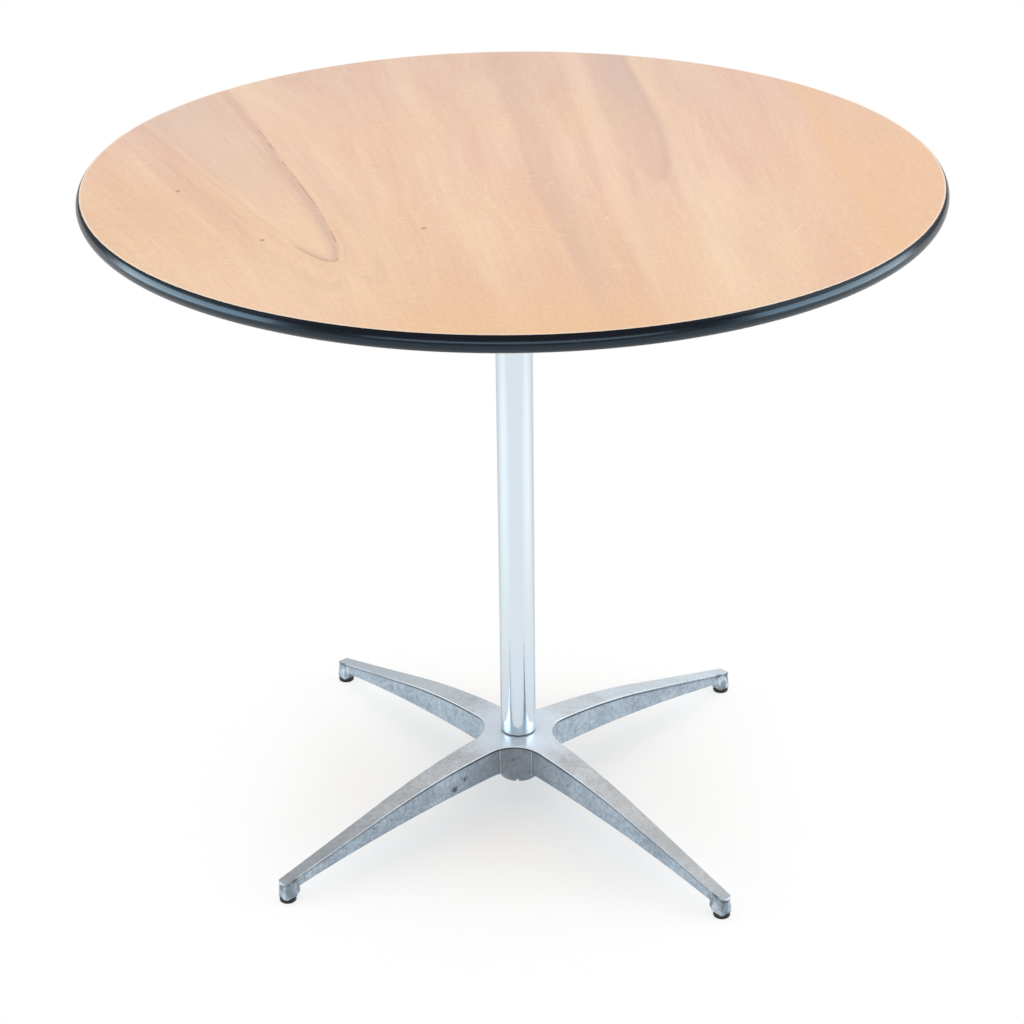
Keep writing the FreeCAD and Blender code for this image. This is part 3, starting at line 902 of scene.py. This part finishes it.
def threaded(radius, pitch, bottom, top, chamfers, plain, centre=(0.0, 0.0), segments=STUD_STEPS):
    """A right-hand thread: r = radius - depth * V(h / pitch - t / turn), where V is a flat-crested groove.

    The depth fades in past a plain stretch, a chamfer of the given size cuts each end, and both ends close
    at the axis.
    """
    rows = int(round((top - bottom) / pitch * THREAD_ROWS))
    height = np.linspace(bottom, top, rows)
    turn = full_turn(segments)
    phase = height[None, :] / pitch - turn[:, None] / TURN
    groove = np.clip(GROOVE_LEVEL - GROOVE_SLOPE * np.abs(phase - np.round(phase)), 0.0, 1.0)
    past_plain = np.maximum(plain[0] - height, height - plain[1])
    groove = groove * np.clip(past_plain / pitch, 0.0, 1.0)
    cut = np.maximum(chamfers[0] - (height - bottom), chamfers[1] - (top - height)).clip(0.0)
    ridge = np.minimum(radius - THREAD_DEPTH * pitch * groove, radius - cut)
    ridge = np.pad(ridge, ((0, 0), (1, 1)))
    height = np.pad(height, 1, mode="edge")
    return round_grid(ridge, height, turn, centre)


# Pieces

class COCKTAILTABLE_OT_tabletop(bpy.types.Operator):
    """Veneer on the round panel"""
    bl_idname = "cocktail_table.tabletop"
    bl_label = "Tabletop"

    def execute(self, context):
        dress("tabletop_panel", veneer_finish())
        return {"FINISHED"}


def band_profile(low, high, panel):
    """Section of the band: an arc through both edges and the widest point, and a tongue with barbs."""
    middle, half = (low.z + high.z) / 2, (high.z - low.z) / 2
    bow = high.x - panel
    arc_radius = (half ** 2 + bow ** 2) / (2 * bow)
    lean = np.linspace(-1.0, 1.0, BOW_POINTS) * math.asin(half / arc_radius)
    face = np.stack([
        high.x - arc_radius * (1 - np.cos(lean)),
        middle + arc_radius * np.sin(lean),
    ], axis=1)
    face[[0, -1]] += [[0.0, BAND_EDGE], [0.0, -BAND_EDGE]]
    back = panel + PRESS_GAP
    barb = sizes().band_barb
    tongue = TONGUE_THICKNESS / 2 - barb
    steps = np.linspace(0.0, 1.0, BARBS + 1)[1:]
    teeth = np.stack([
        np.repeat(back - TONGUE_DEPTH * steps, 2)[:-1],
        np.tile([tongue, tongue + barb], len(steps))[:-1],
    ], axis=1)
    upper = np.concatenate([[[back, half - BAND_EDGE]], [[back, tongue]], teeth])
    lower = upper[::-1] * [1.0, -1.0]
    return np.concatenate([face, np.concatenate([upper, lower]) + [0.0, middle]])


class COCKTAILTABLE_OT_edge_band(bpy.types.Operator):
    """Bowed vinyl band with a barbed tongue, butted at the back"""
    bl_idname = "cocktail_table.edge_band"
    bl_label = "Edge band"

    def execute(self, context):
        low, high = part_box("edge_band")
        profile = band_profile(low, high, radius_of("tabletop_panel"))
        seam = BAND_SEAM / 2 / high.x
        turn = np.linspace(TURN / 4 + seam, TURN * 1.25 - seam, BAND_STEPS)
        add_piece("edge_band_vinyl", [(revolved(profile, turn), False, True)], vinyl_finish(), "top",
                  ["edge_band"], BAND_SHARP)
        return {"FINISHED"}


class COCKTAILTABLE_OT_column(bpy.types.Operator):
    """Chrome tube, with its plugs and threaded studs"""
    bl_idname = "cocktail_table.column"
    bl_label = "Column"

    def execute(self, context):
        low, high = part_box("column_tube")
        outer, inner = high.x, radius_of("column_foot_plug") + PRESS_GAP
        heights = np.linspace(low.z + TUBE_EDGE, high.z - TUBE_EDGE, TUBE_ROWS)
        outside = np.stack([np.full_like(heights, outer), heights], axis=1)
        rims = eased([(outer, low.z, TUBE_EDGE), (outer, high.z, TUBE_EDGE),
                      (inner, high.z, SMALL_EDGE), (inner, low.z, SMALL_EDGE)])
        foot_rim, others = rims[:EASE_STEPS], rims[EASE_STEPS:]
        tube = revolved(np.concatenate([foot_rim, outside[1:-1], others]), full_turn(TUBE_STEPS))
        add_piece("column_tube_chrome", [(tube, True, True)], chrome_finish(), "column", ["column_tube"])
        zinc = zinc_finish()
        for name in ("column_head_plug", "column_foot_plug"):
            dress(name, zinc)
        for name, plug, chamfers in (("head_stud", "column_head_plug", (0.0, STUD_CHAMFER)),
                                     ("foot_stud", "column_foot_plug", (STUD_CHAMFER, 0.0))):
            stud_low, stud_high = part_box(name)
            hold_low, hold_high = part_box(plug)
            surface = threaded(stud_high.x, sizes().stud_pitch, stud_low.z, stud_high.z, chamfers,
                               (hold_low.z, hold_high.z))
            add_piece(name + "_thread", [(surface, True, False)], zinc, "column", [name],
                      THREAD_SHARP)
        return {"FINISHED"}


class COCKTAILTABLE_OT_washers(bpy.types.Operator):
    """Thin black washers at the two ends of the column"""
    bl_idname = "cocktail_table.washers"
    bl_label = "Washers"

    def execute(self, context):
        material = nylon_finish()
        hole, rim = radius_of("foot_stud") + LOOSE_GAP, radius_of("column_tube") - WASHER_INSET
        for name in ("head_washer", "foot_washer"):
            low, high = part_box(name)
            corners = ((rim, low.z), (rim, high.z), (hole, high.z), (hole, low.z))
            ring = revolved(eased([corner + (WASHER_EDGE,) for corner in corners]), full_turn(WASHER_STEPS))
            add_piece(name + "_ring", [(ring, True, True)], material, name, [name])
        return {"FINISHED"}


class COCKTAILTABLE_OT_base(bpy.types.Operator):
    """Cast aluminium on the four-arm base"""
    bl_idname = "cocktail_table.base"
    bl_label = "Base casting"

    def execute(self, context):
        dress("base_casting", casting_finish("cast_aluminium", base_stains_and_painted_light))
        return {"FINISHED"}


def pad_surface(low, high, sole, centre):
    """A pad with rounded rims, and a pocket that the stem's flange turns in."""
    radius, ease = (high.x - low.x) / 2, sizes().pad_round
    neck, pocket = STEM_RADIUS + LOOSE_GAP, FLANGE_RADIUS + LOOSE_GAP
    roof = sole + FLANGE_THICKNESS + LOOSE_GAP
    profile = eased([
        (radius, low.z, ease), (radius, high.z, ease),
        (neck, high.z, SMALL_EDGE), (neck, roof, SMALL_EDGE),
        (pocket, roof, SMALL_EDGE), (pocket, sole, SMALL_EDGE)])
    bottom = [[0.0, low.z], [radius * 0.5, low.z]]
    profile = np.concatenate([bottom, profile, [[0.0, sole]]])
    return revolved(profile, full_turn(PAD_STEPS), centre)


def stem_surfaces(bottom, top, sole, centre):
    """A threaded rod from the pad's upper face to the stem's top, a flange in the pad and a hex collar."""
    collar = bottom + COLLAR_HEIGHT
    rod = threaded(STEM_RADIUS, sizes().glide_pitch, bottom, top, (0.0, STEM_CHAMFER), (0.0, collar),
                   centre, STEM_STEPS)
    flange_top = sole + FLANGE_THICKNESS
    flange = revolved([
        (0.0, sole), (FLANGE_RADIUS - FLANGE_EDGE, sole), (FLANGE_RADIUS, sole + FLANGE_EDGE),
        (FLANGE_RADIUS, flange_top - FLANGE_EDGE), (FLANGE_RADIUS - FLANGE_EDGE, flange_top),
        (STEM_RADIUS, flange_top), (STEM_RADIUS, bottom), (0.0, bottom)],
        full_turn(FLANGE_STEPS), centre)
    corner = COLLAR_FLATS / 2 / math.cos(math.pi / COLLAR_SIDES)
    hexagon = revolved([
        (0.0, bottom), (corner - COLLAR_EDGE, bottom), (corner, bottom + COLLAR_EDGE),
        (corner, collar - COLLAR_EDGE), (corner - COLLAR_EDGE, collar), (0.0, collar)],
        full_turn(COLLAR_SIDES), centre)
    return [(surface, True, False) for surface in (rod, flange, hexagon)]


class COCKTAILTABLE_OT_glides(bpy.types.Operator):
    """Moulded pads and threaded stems of the four levelling glides"""
    bl_idname = "cocktail_table.glides"
    bl_label = "Glides"

    def execute(self, context):
        nylon, zinc = nylon_finish(), zinc_finish()
        for place in PLACES:
            pad, stem = "glide_pad_" + place, "glide_stem_" + place
            low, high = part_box(pad)
            stem_low, stem_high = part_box(stem)
            sole = stem_low.z
            centre = ((low.x + high.x) / 2, (low.y + high.y) / 2)
            surface = pad_surface(low, high, sole, centre)
            add_piece(pad + "_moulded", [(surface, True, False)], nylon, pad, [pad])
            surfaces = stem_surfaces(high.z, stem_high.z, sole, centre)
            add_piece(stem + "_thread", surfaces, zinc, stem, [stem], THREAD_SHARP)
        return {"FINISHED"}


def screw_surfaces(low, high, panel_low):
    """A wood screw on the axis: a domed head with a cross recess, the head's rim, and a threaded shank.

    The dome rises as 1 - sqrt(1 - k u^2) over the share u of the head's radius. The recess is a cross
    along x and y, and it gets shallower outwards.
    """
    seat = low + HEAD_HEIGHT
    turn = full_turn(HEAD_STEPS)
    share = np.linspace(0.0, 1.0, HEAD_RINGS)
    radius = HEAD_RADIUS * np.broadcast_to(share, (len(turn), len(share)))
    reach_x, reach_y = np.abs(radius * np.cos(turn)[:, None]), np.abs(radius * np.sin(turn)[:, None])
    cross = (np.minimum(reach_x, reach_y) < RECESS_HALF_WIDTH) & (radius < RECESS_REACH)
    recess = np.where(cross, RECESS_DEPTH * (1 - radius / RECESS_FADE), 0.0)
    bulge = 1 - np.sqrt(1 - HEAD_ROUNDNESS * share ** 2)
    dome = low + HEAD_CROWN * bulge / bulge[-1]
    head = round_grid(radius, dome + recess, turn)
    rim = revolved([(HEAD_RADIUS, dome[-1]), (HEAD_RADIUS, seat), (0.0, seat)], turn)
    shank = threaded(SCREW_RADIUS, SCREW_PITCH, seat, high, (0.0, SCREW_POINT),
                     (0.0, panel_low - SCREW_PLAIN_END), segments=SCREW_STEPS)
    return head, rim, shank


class COCKTAILTABLE_OT_spider(bpy.types.Operator):
    """Cast bracket under the top and its cross-recess wood screws"""
    bl_idname = "cocktail_table.spider"
    bl_label = "Spider and screws"

    def execute(self, context):
        dress("top_spider", casting_finish("cast_aluminium_bracket"))
        low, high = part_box("spider_screws")
        panel_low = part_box("tabletop_panel")[0]
        screw = screw_surfaces(low.z, high.z, panel_low.z)
        surfaces = []
        for circle in SCREW_CIRCLES:
            for angle in TURN / 8 + full_turn(SCREWS_ON_CIRCLE):
                shift = np.array([circle * math.cos(angle), circle * math.sin(angle), 0.0])
                surfaces += [(surface + shift, True, False) for surface in screw]
        add_piece("spider_screws_recessed", surfaces, zinc_finish(), "top", ["spider_screws"],
                  THREAD_SHARP)
        return {"FINISHED"}


# Studio

WHITE = (1.0, 1.0, 1.0)
# The floor: half its width, how far it lies under the glides, and its colours, plain and mirrored
FLOOR_HALF = 9.0
FLOOR_DROP = 0.0002
FLOOR_PALE = (0.97, 0.98, 0.99)
FLOOR_MIRRORED = (0.79, 0.82, 0.86)
# The floor's paper as mirror finishes see it: outside the pools of light, far in front and behind the table
PAPER_OUTSIDE = (0.84, 0.84, 0.84)
PAPER_IN_FRONT = (0.25, 0.25, 0.25)
PAPER_BEHIND = (0.72, 0.72, 0.72)
# Two pools of light on the floor: angle either side of the camera's direction, and distance in metres
POOL_ANGLE = math.radians(77)
POOL_REACH = 1.0
# The dark parts of the room, as mirror finishes see them
ROOM_DARK = (0.12, 0.125, 0.135)
# Lamps: place, shape, width and depth, radiance, tint, and whether mirror and plain finishes show them
LAMPS = {
    "left softbox": ((-2.5, -0.55, 0.74), "RECTANGLE", (2.5, 1.3), 2.4, (0.82, 0.94, 1.0), True, True),
    "right softbox": ((2.5, -0.15, 0.74), "RECTANGLE", (2.4, 1.3), 3.5, (0.85, 0.95, 1.0), True, True),
    "left screen": ((-2.7, -0.55, 0.74), "RECTANGLE", (3.3, 1.5), 0.8, (0.84, 0.95, 1.0), True, True),
    "right screen": ((2.7, -0.15, 0.74), "RECTANGLE", (3.2, 1.5), 0.8, (0.85, 0.95, 1.0), True, True),
    "left shine": ((-2.6, -0.55, 0.74), "RECTANGLE", (2.5, 1.4), 1.7, (0.80, 0.94, 1.0), True, False),
    "strip behind the camera": ((0.3, -3.6, 0.85), "RECTANGLE", (5.0, 0.7), 2.8, WHITE, True, False),
    "overhead softbox": ((0.0, 0.3, 3.1), "RECTANGLE", (3.2, 3.2), 0.75, (1.0, 0.99, 0.97), False, True),
    "panel under the top": ((0.0, 0.0, 0.72), "ELLIPSE", (0.86, 0.86), 0.3, WHITE, True, True),
}
# Point that the lamps are turned to, in metres, and the width of the camera's sensor, in millimetres
LAMP_AIM = Vector((0.0, 0.0, 0.45))
SENSOR_WIDTH = 36.0


def towards_camera(x, y):
    """Level distance from the column towards the camera."""
    return x * math.sin(studio().azimuth) - y * math.cos(studio().azimuth)


def right_of_camera(x, y):
    """Level distance from the column to the camera's right."""
    return x * math.cos(studio().azimuth) + y * math.sin(studio().azimuth)


def floor_finish():
    """Pale floor that a camera and mirror finishes see as white paper with the table's faint shadow on it.

    It is clear from below, so that the table can be looked at from there too.
    """
    make = Finish("studio_floor", roughness=0.9, specular_ior_level=0.0)
    mirrored = make.ray("Is Glossy Ray")
    seen = make.ray("Is Camera Ray").most(mirrored).most(make.ray("Is Transmission Ray"))
    x, y = make.parts(make.place())[:2]
    reach = (x * x + y * y).root()
    front = towards_camera(x, y)
    pools = []
    for side in (-1, 1):
        angle = studio().azimuth - TURN / 4 + side * POOL_ANGLE
        dx, dy = x - POOL_REACH * math.cos(angle), y - POOL_REACH * math.sin(angle)
        pools.append((dx * dx + dy * dy).root().step(0.75, 0.15))
    away = mirrored * (1.0 - reduce(Signal.most, pools))
    behind = (front / reach.most(0.001)).step(-0.35, -0.70)
    paper = make.layers(WHITE, [
        (away, PAPER_OUTSIDE),
        (mirrored * front.step(1.85, 2.2), PAPER_IN_FRONT),
        (mirrored * behind, PAPER_BEHIND),
    ])
    make.set("Base Color", make.mix(away, FLOOR_PALE, FLOOR_MIRRORED))
    white = make.node("ShaderNodeEmission", None, {"Color": paper})
    shadowed = Signal(make, make.surface.outputs[0])
    open_floor = 0.28 + 0.72 * reach.step(0.18, 0.45)
    mixed = make.node("ShaderNodeMixShader", None, {0: seen * open_floor, 1: shadowed, 2: white})
    below = make.node("ShaderNodeNewGeometry", None, None, output="Backfacing")
    clear = make.node("ShaderNodeBsdfTransparent")
    mixed = make.node("ShaderNodeMixShader", None, {0: below, 1: mixed, 2: clear})
    make.feed(make.node_tree.nodes["Material Output"].inputs["Surface"], mixed)
    return make.material


def light_world():
    """Soft light from all round. Mirror finishes see a white room, dark overhead and behind the camera."""
    world = bpy.data.worlds.new("studio")
    world.use_nodes = True
    bpy.context.scene.world = world
    make = Tree(world.node_tree)
    direction = make.node("ShaderNodeTexCoord", None, None, output="Generated")
    x, y, z = make.parts(direction)
    level = (x * x + y * y).root().most(0.001)
    front, aside = towards_camera(x, y) / level, right_of_camera(x, y) / level
    corners = abs(aside).step(0.25, 0.50) * z.step(0.45, 0.15)
    bright = front.step(0.45, 0.30) * z.stripe(0.0, 0.10, 0.80, 0.97) * (1.0 - 0.8 * corners)
    bright = bright * (0.35 + 0.65 * aside.step(-0.35, 0.20))
    room = make.mix(bright, ROOM_DARK, WHITE)
    soft = (studio().ambient,) * 3
    colour = make.mix(make.ray("Is Glossy Ray"), soft, room)
    seen = make.ray("Is Camera Ray").most(make.ray("Is Transmission Ray"))
    make.feed(world.node_tree.nodes["Background"].inputs["Color"], make.mix(seen, colour, WHITE))


def add_floor(scene):
    """A level square just under the glides."""
    mesh = bpy.data.meshes.new("floor")
    side = np.array([-FLOOR_HALF, FLOOR_HALF])
    corners = np.stack(np.broadcast_arrays(side[:, None], side[None, :], -FLOOR_DROP), axis=-1)
    mesh.from_pydata(corners.reshape(-1, 3).tolist(), [], [(0, 2, 3, 1)])
    mesh.materials.append(floor_finish())
    floor = bpy.data.objects.new("floor", mesh)
    scene.collection.objects.link(floor)


def add_lamps(scene):
    """The lamps, each turned to the same point on the column's axis."""
    for name, (place, shape, size, radiance, tint, mirrored, plain) in LAMPS.items():
        light = bpy.data.lights.new(name, "AREA")
        light.shape = shape
        light.size, light.size_y = size
        light.energy = radiance * math.pi * size[0] * size[1]
        light.color = tint
        lamp = bpy.data.objects.new(name, light)
        aim = (LAMP_AIM - Vector(place)).to_track_quat("-Z", "Y")
        lamp.matrix_world = Matrix.Translation(place) @ aim.to_matrix().to_4x4()
        lamp.visible_glossy = mirrored
        lamp.visible_diffuse = plain
        lamp.visible_camera = False
        scene.collection.objects.link(lamp)


def add_camera(scene):
    """The camera at its distance and height, turned by its pitch, yaw and roll, then round the column."""
    view = studio()
    level = math.cos(view.pitch)
    forward = Vector((math.sin(view.yaw) * level, math.cos(view.yaw) * level, -math.sin(view.pitch)))
    right = forward.cross(Vector((0.0, 0.0, 1.0))).normalized()
    upright = right.cross(forward)
    across = right * math.cos(view.roll) + upright * math.sin(view.roll)
    above = upright * math.cos(view.roll) - right * math.sin(view.roll)
    turned = Matrix.Rotation(view.azimuth, 4, "Z")
    aimed = Matrix((across, above, -forward)).transposed().to_4x4()
    camera = bpy.data.objects.new("camera", bpy.data.cameras.new("camera"))
    camera.data.lens = view.lens
    camera.data.sensor_width = SENSOR_WIDTH
    camera.matrix_world = turned @ Matrix.Translation((0.0, -view.distance, view.height)) @ aimed
    scene.collection.objects.link(camera)
    scene.camera = camera


class COCKTAILTABLE_OT_stage(bpy.types.Operator):
    """White floor, softboxes and the camera"""
    bl_idname = "cocktail_table.stage"
    bl_label = "Stage"

    def execute(self, context):
        context.scene.view_settings.view_transform = "Standard"
        add_floor(context.scene)
        light_world()
        add_lamps(context.scene)
        add_camera(context.scene)
        return {"FINISHED"}


class COCKTAILTABLE_PT_pieces(bpy.types.Panel):
    """Buttons for the pieces and the stage"""
    bl_idname = "COCKTAILTABLE_PT_pieces"
    bl_label = "Cocktail table"
    bl_space_type = "VIEW_3D"
    bl_region_type = "UI"
    bl_category = "Cocktail table"

    def draw(self, context):
        for step in STEPS:
            self.layout.operator(step.bl_idname)


STEPS = (
    COCKTAILTABLE_OT_tabletop,
    COCKTAILTABLE_OT_edge_band,
    COCKTAILTABLE_OT_column,
    COCKTAILTABLE_OT_washers,
    COCKTAILTABLE_OT_base,
    COCKTAILTABLE_OT_glides,
    COCKTAILTABLE_OT_spider,
    COCKTAILTABLE_OT_stage,
)
CLASSES = (TableSizes, TableColours, TableStudio) + STEPS + (COCKTAILTABLE_PT_pieces,)


def register():
    for each in CLASSES:
        bpy.utils.register_class(each)
    bpy.types.Scene.table_sizes = PointerProperty(type=TableSizes)
    bpy.types.Scene.table_colours = PointerProperty(type=TableColours)
    bpy.types.Scene.table_studio = PointerProperty(type=TableStudio)


def unregister():
    del bpy.types.Scene.table_studio
    del bpy.types.Scene.table_colours
    del bpy.types.Scene.table_sizes
    for each in reversed(CLASSES):
        bpy.utils.unregister_class(each)


def main():
    register()
    for step in STEPS:
        group, name = step.bl_idname.split(".")
        getattr(getattr(bpy.ops, group), name)()


if __name__ == "__main__":
    main()
